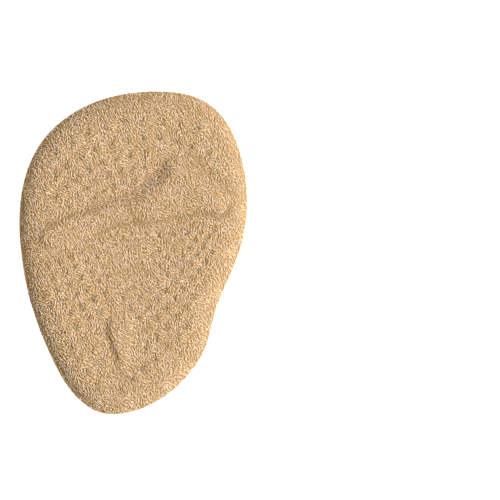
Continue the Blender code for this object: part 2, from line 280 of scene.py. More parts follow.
MARKS = (
    # painted shade in a dent across the ridge; the dent is not in the geometry
    Mark("dent across the ridge", Place(-0.066, 0.309), Place(0.031, 0.191), 0.0006, 0.14),
    # painted light on the lit side of that dent
    Mark("lit beside that dent", Place(-0.105, 0.295), Place(-0.015, 0.190), 0.0007, -0.08),
    # painted shade in the hollows beyond that dent and beside the knob
    Mark("hollow beyond that dent", Place(0.035, 0.285), Place(0.055, 0.215), 0.0022, 0.07),
    Mark("hollow beside the knob", Place(0.540, 0.580), Place(0.830, 0.395), 0.0017, 0.12),
    # painted highlight on the lit top of the bump
    Mark("lit top of the bump", Place(-0.004, -0.440), Place(0.000, -0.455), 0.0010, -0.10),
    # a real stain
    Mark("stain at the toe edge", Place(0.100, 0.953), Place(0.120, 0.953), 0.0012, 0.12),
)

# Colours, as linear red, green and blue
# The tufts' colour by height paints a highlight along their tops and shade down at their roots
PILE_TIP_HIGHLIGHT_COLOUR = (0.90, 0.76, 0.56)
PILE_SIDE_COLOUR = (0.74, 0.55, 0.33)
PILE_ROOT_SHADE_COLOUR = (0.60, 0.38, 0.175)
PILE_PALE_TINT = (1.03, 1.03, 1.07)
PILE_WARM_TINT = (0.975, 0.96, 0.88)
TONE_SPREAD = 0.09
CLOTH_LIGHT_COLOUR = (0.62, 0.40, 0.19)
CLOTH_DARK_COLOUR = (0.44, 0.26, 0.105)
FOAM_LIGHT_COLOUR = (0.70, 0.55, 0.36)
FOAM_DARK_COLOUR = (0.52, 0.38, 0.22)
FLOOR_COLOUR = (0.80, 0.80, 0.80)
FLOOR_SHADE = 0.99

# How the materials vary: noise sizes as turns for each metre, and the middle range of a noise's values
NOISE_RANGE = (0.3, 0.7)
HUE_SCALE = 260.0
HUE_RANGE = (0.36, 0.64)
# Where on a tuft's height the painted shade gives way to the painted highlight
LOWER_RISE = (0.10, 0.62)
UPPER_RISE = (0.62, 1.05)
# Painted shade in the pile's creases is deeper in colour as well as darker
SHADE_RANGE = (0.6, 1.0)
RICHNESS_RANGE = (1.25, 1.0)
ROUGHNESS_SCALE = 900.0
PILE_ROUGHNESS = (0.78, 1.0)
PILE_SPECULAR = 0.15
SHEEN_WEIGHT = 0.25
SHEEN_ROUGHNESS = 0.45
SHEEN_COLOUR = (1.0, 0.93, 0.82)
FIBRE_SCALE = 3600.0
FIBRE_DEPTH = 0.00012
KNIT_SCALE = 640.0
KNIT_DEPTH = 0.0001
KNIT_CLOUD_SCALE = 500.0
CLOTH_ROUGHNESS = (0.85, 1.0)
CLOTH_SPECULAR = 0.1
PORE_SCALE = 2600.0
PORE_REACH = 0.55
PORE_DEPTH = 0.00012
FOAM_CLOUD_SCALE = 320.0
FOAM_ROUGHNESS_SCALE = 1200.0
FOAM_ROUGHNESS = (0.7, 0.95)
FOAM_SPECULAR = 0.25
FLOOR_ROUGHNESS = 0.9
FLOOR_SPECULAR = 0.1
FLOOR_CLOUD_SCALE = 3.0

# The photograph's frame, in pixels: its side, the pad's middle and the pad's length
PHOTO_SIDE = 500.0
PHOTO_PAD_MIDDLE = (133.5, 252.86)
PHOTO_PAD_LENGTH = 322.9
CAMERA_HEIGHT = 1.0
SENSOR_WIDTH = 36.0

# Studio light: one soft key lamp from the arch side, and light from all round
KEY_ELEVATION = math.radians(39.0)
KEY_BEARING = math.radians(0.0)
KEY_DISTANCE = 0.9
KEY_SIZE = 0.42
KEY_POWER = 12.8
SKY_STRENGTH = 0.36
SKY_COLOUR = (1.0, 0.93, 0.83)
FLOOR_SIDE = 3.0
FLOOR_GLOW = 0.85


def to_metres(places):
    """Plan points in metres for places given as shares."""
    return np.array(places, float) * (PAD_WIDTH / 2, PAD_LENGTH / 2)


def closed_curve(points):
    """A smooth closed line through the points, as a dense polygon."""
    count = len(points)
    spans = np.roll(points, -1, axis=0) - points
    lengths = np.hypot(spans[:, 0], spans[:, 1])
    slopes = spans / lengths[:, None]
    system = np.zeros((count, count))
    for here in range(count):
        before = here - 1
        after = (here + 1) % count
        system[here, before] += lengths[before]
        system[here, here] += 2 * (lengths[before] + lengths[here])
        system[here, after] += lengths[here]
    bends = np.linalg.solve(system, 6 * (slopes - np.roll(slopes, 1, axis=0)))
    curve = []
    for here in range(count):
        after = (here + 1) % count
        for step in range(CURVE_STEPS):
            part = step / CURVE_STEPS
            rest = 1 - part
            bend = (rest**3 - rest) * bends[here] + (part**3 - part) * bends[after]
            curve.append(rest * points[here] + part * points[after] + lengths[here] ** 2 / 6 * bend)
    return np.array(curve)


def evenly_spaced(curve, spacing):
    """Points at even steps round a closed polygon, about the spacing apart."""
    ends = np.vstack([curve, curve[:1]])
    travelled = np.concatenate([[0], np.cumsum(np.hypot(*np.diff(ends, axis=0).T))])
    count = round(travelled[-1] / spacing)
    stops = np.arange(count) * travelled[-1] / count
    return np.stack([np.interp(stops, travelled, ends[:, axis]) for axis in (0, 1)], axis=1)


def distance_to_line(points, line):
    """Distance from each point to the nearest place on an open line."""
    nearest = np.full(len(points), np.inf)
    for start, end in zip(line[:-1], line[1:]):
        span = end - start
        offset = points - start
        offset -= np.clip(offset @ span / (span @ span), 0, 1)[:, None] * span
        nearest = np.minimum(nearest, offset[:, 0] ** 2 + offset[:, 1] ** 2)
    return np.sqrt(nearest)


def depth_inside(points, outline):
    """Distance from each point to a closed outline, positive inside it and negative outside."""
    inside = np.zeros(len(points), bool)
    for start, end in zip(outline, np.roll(outline, -1, axis=0)):
        if start[1] != end[1]:
            beside = (start[1] > points[:, 1]) != (end[1] > points[:, 1])
            crossing = start[0] + (points[:, 1] - start[1]) * (end[0] - start[0]) / (end[1] - start[1])
            inside ^= beside & (points[:, 0] < crossing)
    distance = distance_to_line(points, np.vstack([outline, outline[:1]]))
    return np.where(inside, distance, -distance)


def inset(ring, distance):
    """An anticlockwise ring of plan points moved inwards by the distance."""
    tangent = np.roll(ring, -1, axis=0) - np.roll(ring, 1, axis=0)
    tangent /= np.hypot(tangent[:, 0], tangent[:, 1])[:, None]
    return ring + distance * np.stack([-tangent[:, 1], tangent[:, 0]], axis=1)


def pad_outline():
    """The pad's outline at even steps, exactly its length and width about the origin."""
    curve = evenly_spaced(closed_curve(to_metres(PAD_OUTLINE)), RIM_SPACING)
    low = curve.min(axis=0)
    high = curve.max(axis=0)
    return (curve - (low + high) / 2) * (PAD_WIDTH, PAD_LENGTH) / (high - low)


def two_sided_outline(first_side, second_side):
    """The two sides of a closed anticlockwise curve, each an open line that ends where the other starts."""
    curve = closed_curve(to_metres([*first_side, *second_side]))
    turn = len(first_side) * CURVE_STEPS
    return curve[: turn + 1], np.vstack([curve[turn:], curve[:1]])


def ridge_outline():
    """The foot of the ridge: its heel edge from left to right, and its toe edge back again."""
    heel_edge = [Place(section.across, section.heel_edge) for section in RIDGE_SECTIONS]
    toe_edge = [Place(section.across, section.toe_edge) for section in reversed(RIDGE_SECTIONS)]
    return two_sided_outline([RIDGE_LEFT_TIP, *heel_edge], [RIDGE_RIGHT_TIP, *toe_edge])


def join_sides(sides):
    """One closed outline from its two sides."""
    return np.vstack([side[:-1] for side in sides])


RIM = pad_outline()
RIDGE_SIDES = ridge_outline()
BUMP_SIDES = two_sided_outline(BUMP_STEEP_SIDE, BUMP_BROAD_SIDE)


def smooth_step(share):
    """An even rise from 0 to 1, level at both ends."""
    share = np.clip(share, 0, 1)
    return share * share * (3 - 2 * share)


def flank_step(share):
    """A rise from 0 to 1 that is nearly even, softened at both ends."""
    return (np.clip(share, 0, 1) + smooth_step(share)) / 2


def raised_form(points, sides, flank_widths):
    """A rise from 0 outside a closed form to 1 inside it, over a flank of its own width on each side."""
    rise = (depth_inside(points, join_sides(sides)) > 0).astype(float)
    for side, flank_width in zip(sides, flank_widths):
        rise *= flank_step(distance_to_line(points, side) / flank_width)
    return rise


def edge_roll(depth):
    """The rolled rim: steep at the edge, level further in."""
    return 1 - (1 - np.clip(depth / EDGE_ROLL_WIDTH, 0, 1)) ** 2


def crest_column(points, column):
    """One column of the crest table at each point, read along the ridge's own run."""
    run = points @ (math.cos(RIDGE_BEARING), math.sin(RIDGE_BEARING)) / (PAD_WIDTH / 2)
    stations = [crest.run for crest in RIDGE_CRESTS]
    return np.interp(run, stations, [getattr(crest, column) for crest in RIDGE_CRESTS])


def ridge_relief(points):
    """Height of the ridge above the field."""
    from_heel_edge, from_toe_edge = (distance_to_line(points, side) for side in RIDGE_SIDES)
    toe_share = smooth_step(from_heel_edge / (from_heel_edge + from_toe_edge))
    heel_height = crest_column(points, "heel_height")
    height = heel_height + (crest_column(points, "toe_height") - heel_height) * toe_share
    flanks = (RIDGE_HEEL_FLANK_WIDTH, RIDGE_TOE_FLANK_WIDTH * crest_column(points, "toe_flank"))
    return RIDGE_HEIGHT * height * raised_form(points, RIDGE_SIDES, flanks)


def bump_relief(points):
    """Height of the bump above the field."""
    return BUMP_HEIGHT * raised_form(points, BUMP_SIDES, (BUMP_STEEP_FLANK_WIDTH, BUMP_BROAD_FLANK_WIDTH))


def foam_top(points):
    """Height of the foam's top."""
    depth = depth_inside(points, RIM)
    rim = CORE_EDGE_HEIGHT + (CORE_RIM_HEIGHT - CORE_EDGE_HEIGHT) * edge_roll(depth)
    dish = DISH_DEPTH * smooth_step((depth - DISH_START) / DISH_WIDTH)
    return rim - dish + ridge_relief(points) + bump_relief(points)


def cloth_top(points):
    """Height of the woven cloth that the pile stands in."""
    pressed = smooth_step(depth_inside(points, RIM) / COVER_PRESS_WIDTH)
    rise = COVER_EDGE_RISE + (COVER_RISE - COVER_EDGE_RISE) * pressed
    return foam_top(points) + rise - PILE_DEPTH + dot_relief(points)


def cloth_underside(points):
    """Height of the cloth's underside, on the foam."""
    return foam_top(points) + GLUE_LINE


def field_dots(field):
    """Every dot of one field, on its rings and rays, wherever it would fall."""
    centre = to_metres([field.centre])[0]
    for ring in field.ring_numbers:
        radius = field.ring_radius * PAD_LENGTH * field.ring_growth**ring
        shift = 0.5 if field.staggered and ring % 2 else 0.0
        ray_pitch = radius * field.ray_step
        ring_pitch = radius * abs(field.ring_growth - 1)
        pitch = math.hypot(ray_pitch / 2, ring_pitch) if field.staggered else min(ray_pitch, ring_pitch)
        for ray in field.ray_numbers:
            bearing = field.ray_bearing + (ray + shift) * field.ray_step
            x = centre[0] + radius * math.cos(bearing)
            y = centre[1] + radius * math.sin(bearing)
            yield Dot(x, y, DOT_RADIUS_TO_PITCH * pitch, DOT_HEIGHT * loudness(x, y), field.toe_side)


def loudness(x, y):
    """The share of its full height that a dot has at this place."""
    centre = to_metres([QUIET_CENTRE])[0]
    reach = to_metres([QUIET_REACH])[0]
    outwards = math.hypot((x - centre[0]) / reach[0], (y - centre[1]) / reach[1])
    return QUIET_DOT_SHARE + (1 - QUIET_DOT_SHARE) * smooth_step(outwards)


def lies_on_toe_side(points):
    """Whether each point lies on the toe side of a line along the middle of the ridge."""
    middle = [Place(section.across, (section.toe_edge + section.heel_edge) / 2) for section in RIDGE_SECTIONS]
    line = to_metres([RIDGE_LEFT_TIP, *middle, RIDGE_RIGHT_TIP])
    return points[:, 1] > np.interp(points[:, 0], line[:, 0], line[:, 1])


def massage_dots():
    """The dots that stand clear of the pad's edge, the ridge and the bump."""
    dots = [dot for field in DOT_FIELDS for dot in field_dots(field)]
    places = np.array([(dot.x, dot.y) for dot in dots])
    margins = np.array([dot.radius for dot in dots]) + DOT_RELIEF_MARGIN
    kept = lies_on_toe_side(places) == np.array([dot.toe_side for dot in dots])
    kept &= depth_inside(places, RIM) >= DOT_EDGE_MARGIN
    kept &= depth_inside(places, join_sides(RIDGE_SIDES)) <= -margins
    kept &= depth_inside(places, join_sides(BUMP_SIDES)) <= -margins
    return [dot for dot, keep in zip(dots, kept) if keep]


DOTS = massage_dots()


def dot_relief(points):
    """Height of the massage dots above the cloth around them."""
    height = np.zeros(len(points))
    for dot in DOTS:
        reach = np.hypot(points[:, 0] - dot.x, points[:, 1] - dot.y) / dot.radius
        height = np.maximum(height, dot.height * (1 - np.clip(reach, 0, 1) ** 2) ** 2)
    return height


def hexagon_grid(spacing):
    """Plan points of a grid of even triangles that covers the pad."""
    row_step = spacing * math.sqrt(3) / 2
    rows = math.ceil(PAD_LENGTH / 2 / row_step)
    columns = math.ceil(PAD_WIDTH / 2 / spacing) + 1
    row, column = np.mgrid[-rows : rows + 1, -columns : columns + 1]
    return np.stack([(column + 0.5 * (row % 2)) * spacing, row * row_step], axis=-1).reshape(-1, 2)


def surface_plan(rim, ring_shares, spacing):
    """Plan points and triangles of one surface; the first points are the rim."""
    depths = [share * EDGE_ROLL_WIDTH for share in ring_shares]
    grid = hexagon_grid(spacing)
    grid = grid[depth_inside(grid, rim) > depths[-1] + spacing / 2]
    points = np.vstack([*(inset(rim, depth) for depth in depths), grid])
    inside_only = 1
    loop = list(range(len(rim)))
    corners, _, triangles, *_ = delaunay_2d_cdt(points.tolist(), [], [loop], inside_only, SAME_POINT)
    return np.array(corners), np.array(triangles)


def ring_walls(rings, count):
    """Faces between rings of points that are stacked upwards, from the first vertex number of each."""
    here = np.arange(count)
    after = (here + 1) % count
    walls = [np.stack([low + here, low + after, high + after, high + here], axis=1) for low, high in rings]
    return np.vstack(walls).tolist()


def make_shell(name, underside, top, side_rings, material):
    """A closed soft body between an underside and a top, joined by rings round its side."""
    (lower_points, lower_triangles, lower_heights) = underside
    (upper_points, upper_triangles, upper_heights) = top
    count = len(RIM)
    lower = np.column_stack([lower_points, lower_heights])
    upper = np.column_stack([upper_points, upper_heights])
    sides = [np.column_stack(ring) for ring in side_rings]
    firsts = np.cumsum([0, len(lower), *(len(ring) for ring in sides)])
    faces = lower_triangles[:, ::-1].tolist()
    faces += ring_walls(list(zip(firsts[:-1], firsts[1:])), count)
    faces += (upper_triangles + firsts[-1]).tolist()
    mesh = bpy.data.meshes.new(name)
    mesh.from_pydata(np.vstack([lower, *sides, upper]).tolist(), [], faces)
    return finish_piece(name, mesh, material, SHARP_EDGE_ANGLE)


def finish_piece(name, mesh, material, sharp_angle=math.pi):
    """Shade a mesh smooth, give it its material and put it in the scene."""
    mesh.shade_smooth()
    mesh.set_sharp_from_angle(angle=sharp_angle)
    mesh.materials.append(material)
    piece = bpy.data.objects.new(name, mesh)
    bpy.context.scene.collection.objects.link(piece)
    return piece


def make_foam_body(material):
    """The moulded foam, flat below with a softly rounded lower edge."""
    base_rim = inset(RIM, FOAM_EDGE_ROUNDING)
    base_points, base_triangles = surface_plan(base_rim, FOAM_RINGS, FOAM_GRID_SPACING)
    top_points, top_triangles = surface_plan(RIM, FOAM_RINGS, FOAM_GRID_SPACING)
    corner = FOAM_EDGE_ROUNDING * (1 - math.sqrt(0.5))
    side_rings = [
        (inset(RIM, corner), np.full(len(RIM), corner)),
        (RIM, np.full(len(RIM), FOAM_EDGE_ROUNDING)),
    ]
    underside = (base_points, base_triangles, np.zeros(len(base_points)))
    top = (top_points, top_triangles, foam_top(top_points))
    return make_shell("foam_body", underside, top, side_rings, material)


def make_cover_cloth(material):
    """The knitted cloth that carries the pile, pressed over the foam."""
    rim = inset(RIM, CLOTH_INSET)
    low_points, low_triangles = surface_plan(rim, FOAM_RINGS, FOAM_GRID_SPACING)
    top_points, top_triangles = surface_plan(rim, CLOTH_RINGS, CLOTH_GRID_SPACING)
    underside = (low_points, low_triangles, cloth_underside(low_points))
    top = (top_points, top_triangles, cloth_top(top_points))
    return make_shell("cover_cloth", underside, top, [], material)


def wander(points, wavelength, random):
    """A smooth random value at each plan point, mostly between -1 and 1."""
    bearings = random.uniform(0, math.tau, WANDER_WAVES)
    lengths = wavelength * random.uniform(*WANDER_LENGTHS, WANDER_WAVES)
    phases = random.uniform(0, math.tau, WANDER_WAVES)
    steps = np.stack([np.cos(bearings), np.sin(bearings)]) * math.tau / lengths
    spread_of_sum = math.sqrt(WANDER_WAVES / 2)
    return np.sin(points @ steps + phases).sum(axis=1) / spread_of_sum / WANDER_REACH


def tuft_places(random):
    """Plan points where tufts stand, and their bearings: closer side by side than end to end."""
    places = hexagon_grid(TRY_SPACING)
    places = places + random.uniform(-0.5, 0.5, places.shape) * TRY_SPACING
    places = random.permutation(places[depth_inside(places, RIM) > TUFT_EDGE_MARGIN])
    bearings = tuft_bearings(places, random)
    crowded = {}
    kept = []
    for number, (x, y, bearing) in enumerate(zip(*places.T.tolist(), bearings.tolist())):
        column = math.floor(x / TUFT_GAP_ALONG)
        row = math.floor(y / TUFT_GAP_ALONG)
        if is_clear(x, y, bearing, crowded.get((column, row), ())):
            kept.append(number)
            for aside, ahead in NEAR_CELLS:
                crowded.setdefault((column + aside, row + ahead), []).append((x, y))
    return places[kept], bearings[kept]


def is_clear(x, y, bearing, neighbours):
    """Whether a tuft at this place and bearing keeps its distance from the ones that stand."""
    step_x = math.cos(bearing)
    step_y = math.sin(bearing)
    for other_x, other_y in neighbours:
        along = ((x - other_x) * step_x + (y - other_y) * step_y) / TUFT_GAP_ALONG
        across = ((y - other_y) * step_x - (x - other_x) * step_y) / TUFT_GAP_ACROSS
        if along * along + across * across < 1:
            return False
    return True


def unit(vectors):
    """The vectors at length 1."""
    return vectors / np.linalg.norm(vectors, axis=-1, keepdims=True)


def surface_normals(points):
    """The direction square to the cloth at each plan point."""
    slopes = []
    for step in ((SLOPE_STEP, 0.0), (0.0, SLOPE_STEP)):
        slopes.append((cloth_top(points + step) - cloth_top(points - step)) / (2 * SLOPE_STEP))
    return unit(np.column_stack([-slopes[0], -slopes[1], np.ones(len(points))]))


def rim_bearings(points):
    """The bearing of the pad's edge nearest to each point."""
    across = SLOPE_STEP * 2
    slope_x = depth_inside(points + (across, 0), RIM) - depth_inside(points - (across, 0), RIM)
    slope_y = depth_inside(points + (0, across), RIM) - depth_inside(points - (0, across), RIM)
    return np.arctan2(slope_y, slope_x) + math.pi / 2


def tuft_bearings(points, random):
    """The bearing of each tuft: combed or mixed over the field, and along the edge at the rim."""
    mixed = smooth_step(0.5 + 0.5 * wander(points, PATCH_LENGTH, random))
    bearing = STREAK_BEARING + SWIRL_TURN * wander(points, SWIRL_LENGTH, random)
    spread_of_turns = COMBED_TURN_SPREAD + (MIXED_TURN_SPREAD - COMBED_TURN_SPREAD) * mixed
    bearing += spread_of_turns * random.normal(0, 1, len(points))
    turn = rim_bearings(points) - bearing
    turn = (turn + math.pi / 2) % math.pi - math.pi / 2
    at_rim = 1 - smooth_step(depth_inside(points, RIM) / RIM_TUFT_WIDTH)
    return bearing + turn * at_rim


def tuft_shapes(places, bearings, random):
    """Vertices of every tuft, as rings round a line that follows the relief, and how high each stands."""
    count = len(places)
    spans = TUFT_SPAN * (1 + TUFT_SPAN_SPREAD * random.uniform(-1, 1, count))
    at_rim = 1 - smooth_step(depth_inside(places, RIM) / RIM_TUFT_WIDTH)
    spans *= 1 - (1 - RIM_TUFT_SPAN_SHARE) * at_rim
    heights = TUFT_HEIGHT * (1 + TUFT_HEIGHT_SPREAD * random.uniform(-1, 1, count))
    radii = TUFT_RADIUS * (1 + TUFT_RADIUS_SPREAD * random.uniform(-1, 1, count))
    bows = TUFT_BOW * random.normal(0, 1, count)
    leans = random.normal(0, TUFT_LEAN, count)

    share = np.linspace(-1, 1, TUFT_RINGS)
    along = np.column_stack([np.cos(bearings), np.sin(bearings)])
    beside = np.column_stack([-along[:, 1], along[:, 0]])
    plan = places[:, None] + along[:, None] * (spans[:, None] / 2 * share)[:, :, None]
    plan += beside[:, None] * (bows[:, None] * np.cos(share * math.pi / 2))[:, :, None]
    ground = cloth_top(plan.reshape(-1, 2)).reshape(count, TUFT_RINGS)

    up = surface_normals(places)
    side = unit(np.cross(up, np.column_stack([along, np.zeros(count)])))
    up = up * np.cos(leans)[:, None] + side * np.sin(leans)[:, None]
    lift = heights[:, None] * (1 - share**4) - TUFT_FOOT_DEPTH * share**4
    lines = np.concatenate([plan, ground[:, :, None]], axis=2) + up[:, None] * lift[:, :, None]

    forward = unit(np.gradient(lines, axis=1))
    outward = unit(np.cross(np.broadcast_to(side[:, None], forward.shape), forward))
    across = np.cross(forward, outward)
    girth = radii[:, None] * np.sqrt(1 - (1 - TUFT_FOOT_SHARE**2) * share**4)
    turns = np.arange(TUFT_SIDES) * math.tau / TUFT_SIDES
    spokes = outward[:, :, None] * np.cos(turns)[:, None] + across[:, :, None] * np.sin(turns)[:, None]
    tubes = lines[:, :, None] + spokes * girth[:, :, None, None]
    upward = (spokes * up[:, None, None]).sum(axis=-1)
    rise = (lift[:, :, None] + upward * girth[:, :, None]) / (TUFT_HEIGHT + TUFT_RADIUS)
    return tubes, rise


def creases():
    """Every line of painted shade or painted light on the pile, and the stain: the feet of the ridge and the
    bump, and the marks.
    """
    heel_edge, toe_edge = RIDGE_SIDES
    tip_reach = to_metres([RIDGE_LEFT_TIP])[0][0] + TIP_CREASE_REACH
    # The feet of the ridge and the bump take painted shade, where shade falls in the creases
    yield Crease(heel_edge[heel_edge[:, 0] < tip_reach], *TIP_CREASE_SHADE)
    yield Crease(heel_edge[heel_edge[:, 0] > HEEL_CREASE_START * PAD_WIDTH / 2], *HEEL_CREASE_SHADE)
    yield Crease(toe_edge[toe_edge[:, 0] < TOE_CREASE_END * PAD_WIDTH / 2], *TOE_CREASE_SHADE)
    yield Crease(BUMP_SIDES[0], *BUMP_CREASE_SHADE)
    for mark in MARKS:
        yield Crease(to_metres([mark.start, mark.end]), mark.width, mark.depth)


def painted_shading_and_stain(points):
    """The share of its brightness that the pile keeps at each point: painted shade and the stain take some
    away, painted light adds some.
    """
    shade = np.ones(len(points))
    for crease in creases():
        share = distance_to_line(points, crease.line) / crease.width
        shade *= 1 - crease.depth * np.exp(-0.5 * share**2)
    return shade


def tuft_faces(count):
    """The faces of a number of tufts: quads round each tube and a cap at each end."""
    ring, turn = np.meshgrid(np.arange(TUFT_RINGS - 1), np.arange(TUFT_SIDES), indexing="ij")
    after = (turn + 1) % TUFT_SIDES
    corners = [ring * TUFT_SIDES + turn, (ring + 1) * TUFT_SIDES + turn]
    corners += [(ring + 1) * TUFT_SIDES + after, ring * TUFT_SIDES + after]
    quads = np.stack(corners, axis=-1).reshape(-1, 4)
    first_cap = np.arange(TUFT_SIDES)
    last_cap = (TUFT_RINGS - 1) * TUFT_SIDES + np.arange(TUFT_SIDES)[::-1]
    firsts = np.arange(count)[:, None, None] * TUFT_RINGS * TUFT_SIDES
    quads = (firsts + quads).reshape(-1, 4)
    caps = (firsts + np.stack([first_cap, last_cap])).reshape(-1, TUFT_SIDES)
    return quads.tolist() + caps.tolist()


def tuft_map(count):
    """Places on a flat map for every face corner, one cell of it for each tuft."""
    cells = math.ceil(math.sqrt(count))
    ring, turn = np.meshgrid(np.arange(TUFT_RINGS - 1), np.arange(TUFT_SIDES), indexing="ij")
    corners = [(turn, ring), (turn, ring + 1), (turn + 1, ring + 1), (turn + 1, ring)]
    wall = np.stack([np.stack([u / TUFT_SIDES, v / (TUFT_RINGS - 1)], axis=-1) for u, v in corners], axis=2)
    wall = wall.reshape(-1, 2) * WALL_SIZE + WALL_CORNER
    turns = np.arange(TUFT_SIDES) * math.tau / TUFT_SIDES
    cap = np.column_stack([np.cos(turns), np.sin(turns)]) * CAP_RADIUS
    caps = np.vstack([cap + centre for centre in CAP_CENTRES])
    number = np.arange(count)
    origin = np.column_stack([number % cells, number // cells])[:, None]
    walls = (origin + wall).reshape(-1, 2)
    caps = (origin + caps).reshape(-1, 2)
    return np.vstack([walls, caps]) / cells


def add_point_values(mesh, name, values):
    """Store one number for each vertex of a mesh, for its material to read."""
    attribute = mesh.attributes.new(name, "FLOAT", "POINT")
    attribute.data.foreach_set("value", values.astype(np.float32).ravel())


def make_pile_layer(name, tubes, rise, tones, shades, material):
    """One layer of pile as a joined mesh, each tuft a closed tube of its own."""
    count = len(tubes)
    mesh = bpy.data.meshes.new(name)
    mesh.from_pydata(tubes.reshape(-1, 3).tolist(), [], tuft_faces(count))
    add_point_values(mesh, "rise", rise)
    add_point_values(mesh, "tone", np.repeat(tones, TUFT_RINGS * TUFT_SIDES))
    add_point_values(mesh, "shade", np.repeat(shades, TUFT_RINGS * TUFT_SIDES))
    layout = mesh.uv_layers.new(name="OFBake")
    layout.uv.foreach_set("vector", tuft_map(count).astype(np.float32).ravel())
    return finish_piece(name, mesh, material)


def make_pile(material):
    """The whole pile, in layers that each reach over the whole pad."""
    random = np.random.default_rng(PILE_SEED)
    places, bearings = tuft_places(random)
    tubes, rise = tuft_shapes(places, bearings, random)
    tones = random.uniform(-1, 1, len(places))
    # Each tuft's painted shade and painted light from the creases and marks, and the stain
    shades = painted_shading_and_stain(places)
    pieces = []
    for number in range(PILE_LAYERS):
        share = slice(number, None, PILE_LAYERS)
        name = f"pile_layer_{number + 1}"
        layer = make_pile_layer(name, tubes[share], rise[share], tones[share], shades[share], material)
        pieces.append(layer)
    return pieces


def new_material(name):
    """A material with its node tree, and the shader at its end."""
    material = bpy.data.materials.new(name)
    material.use_nodes = True
    return material, material.node_tree, material.node_tree.nodes["Principled BSDF"]


def add_node(tree, kind, settings=None, **values):
    """A node with its settings, and its sockets set to values or linked to other nodes' outputs."""
    node = tree.nodes.new(kind)
    for setting, value in (settings or {}).items():
        setattr(node, setting, value)
    for socket, value in values.items():
        connect(tree, node.inputs[socket.replace("_", " ")], value)
    return node


def connect(tree, socket, value):
    """Set a socket to a value, or link it to another node's output."""
    if isinstance(value, bpy.types.NodeSocket):
        tree.links.new(value, socket)
    elif hasattr(value, "__len__") and len(value) == 3 and len(socket.default_value) == 4:
        socket.default_value = (*value, 1.0)
    else:
        socket.default_value = value


def mixed_colour(tree, share, first, second, blend="MIX"):
    """A blend of two colours, by a share that a node gives."""
    node = tree.nodes.new("ShaderNodeMix")
    node.data_type = "RGBA"
    node.blend_type = blend
    for socket, value in ((node.inputs[0], share), (node.inputs[6], first), (node.inputs[7], second)):
        connect(tree, socket, value)
    return node.outputs[2]


def object_place(tree):
    """Places on the object itself, in metres."""
    return tree.nodes.new("ShaderNodeTexCoord").outputs["Object"]


def noise(tree, scale, detail=2.0, roughness=0.5):
    """A cloudy value over the object."""
    settings = {"Scale": scale, "Detail": detail, "Roughness": roughness, "Vector": object_place(tree)}
    return add_node(tree, "ShaderNodeTexNoise", **settings).outputs["Fac"]


def spread(tree, value, before, after=(0.0, 1.0)):
    """A value stretched from one range to another."""
    node = add_node(
        tree,
        "ShaderNodeMapRange",
        Value=value,
        From_Min=before[0],
        From_Max=before[1],
        To_Min=after[0],
        To_Max=after[1],
    )
    return node.outputs["Result"]


def product(tree, first, second, clamp=False):
    """Two values multiplied."""
    node = add_node(tree, "ShaderNodeMath", {"operation": "MULTIPLY", "use_clamp": clamp})
    tree.links.new(first, node.inputs[0])
    tree.links.new(second, node.inputs[1])
    return node.outputs[0]


def add_bump(tree, shader, height, strength, distance):
    """Raise the surface's fine detail by a node's value."""
    bump = add_node(tree, "ShaderNodeBump", Strength=strength, Distance=distance, Height=height)
    tree.links.new(bump.outputs["Normal"], shader.inputs["Normal"])


def point_value(tree, name):
    """A number stored on the mesh."""
    return add_node(tree, "ShaderNodeAttribute", {"attribute_name": name}).outputs["Fac"]


def set_roughness(tree, shader, scale, reach):
    """A roughness that varies a little over the surface."""
    roughness = spread(tree, noise(tree, scale), NOISE_RANGE, reach)
    tree.links.new(roughness, shader.inputs["Roughness"])


def pile_material():
    """Soft cotton tufts: a painted highlight along their tops, painted shade down in the gaps, and a dull
    sheen.
    """
    material, tree, shader = new_material("pile_fabric")
    rise = point_value(tree, "rise")
    # Painted shade low on each tuft and a painted highlight along its top, by the height on the tuft
    colour = mixed_colour(tree, spread(tree, rise, LOWER_RISE), PILE_ROOT_SHADE_COLOUR, PILE_SIDE_COLOUR)
    colour = mixed_colour(tree, spread(tree, rise, UPPER_RISE), colour, PILE_TIP_HIGHLIGHT_COLOUR)
    hue = spread(tree, noise(tree, HUE_SCALE), HUE_RANGE)
    tint = mixed_colour(tree, hue, PILE_PALE_TINT, PILE_WARM_TINT)
    colour = mixed_colour(tree, 1.0, colour, tint, "MULTIPLY")
    # Painted shade and painted light from the creases and marks, and the stain, darken or lighten each tuft
    # and deepen its colour in the shade
    shade = point_value(tree, "shade")
    tone = spread(tree, point_value(tree, "tone"), (-1.0, 1.0), (1.0 - TONE_SPREAD, 1.0 + TONE_SPREAD))
    value = product(tree, tone, shade)
    richness = spread(tree, shade, SHADE_RANGE, RICHNESS_RANGE)
    shaded = add_node(tree, "ShaderNodeHueSaturation", Value=value, Saturation=richness, Color=colour)
    tree.links.new(shaded.outputs["Color"], shader.inputs["Base Color"])
    set_roughness(tree, shader, ROUGHNESS_SCALE, PILE_ROUGHNESS)
    shader.inputs["Specular IOR Level"].default_value = PILE_SPECULAR
    shader.inputs["Sheen Weight"].default_value = SHEEN_WEIGHT
    shader.inputs["Sheen Roughness"].default_value = SHEEN_ROUGHNESS
    shader.inputs["Sheen Tint"].default_value = (*SHEEN_COLOUR, 1.0)
    add_bump(tree, shader, noise(tree, FIBRE_SCALE, 2.0, 0.6), 0.6, FIBRE_DEPTH)
    return material


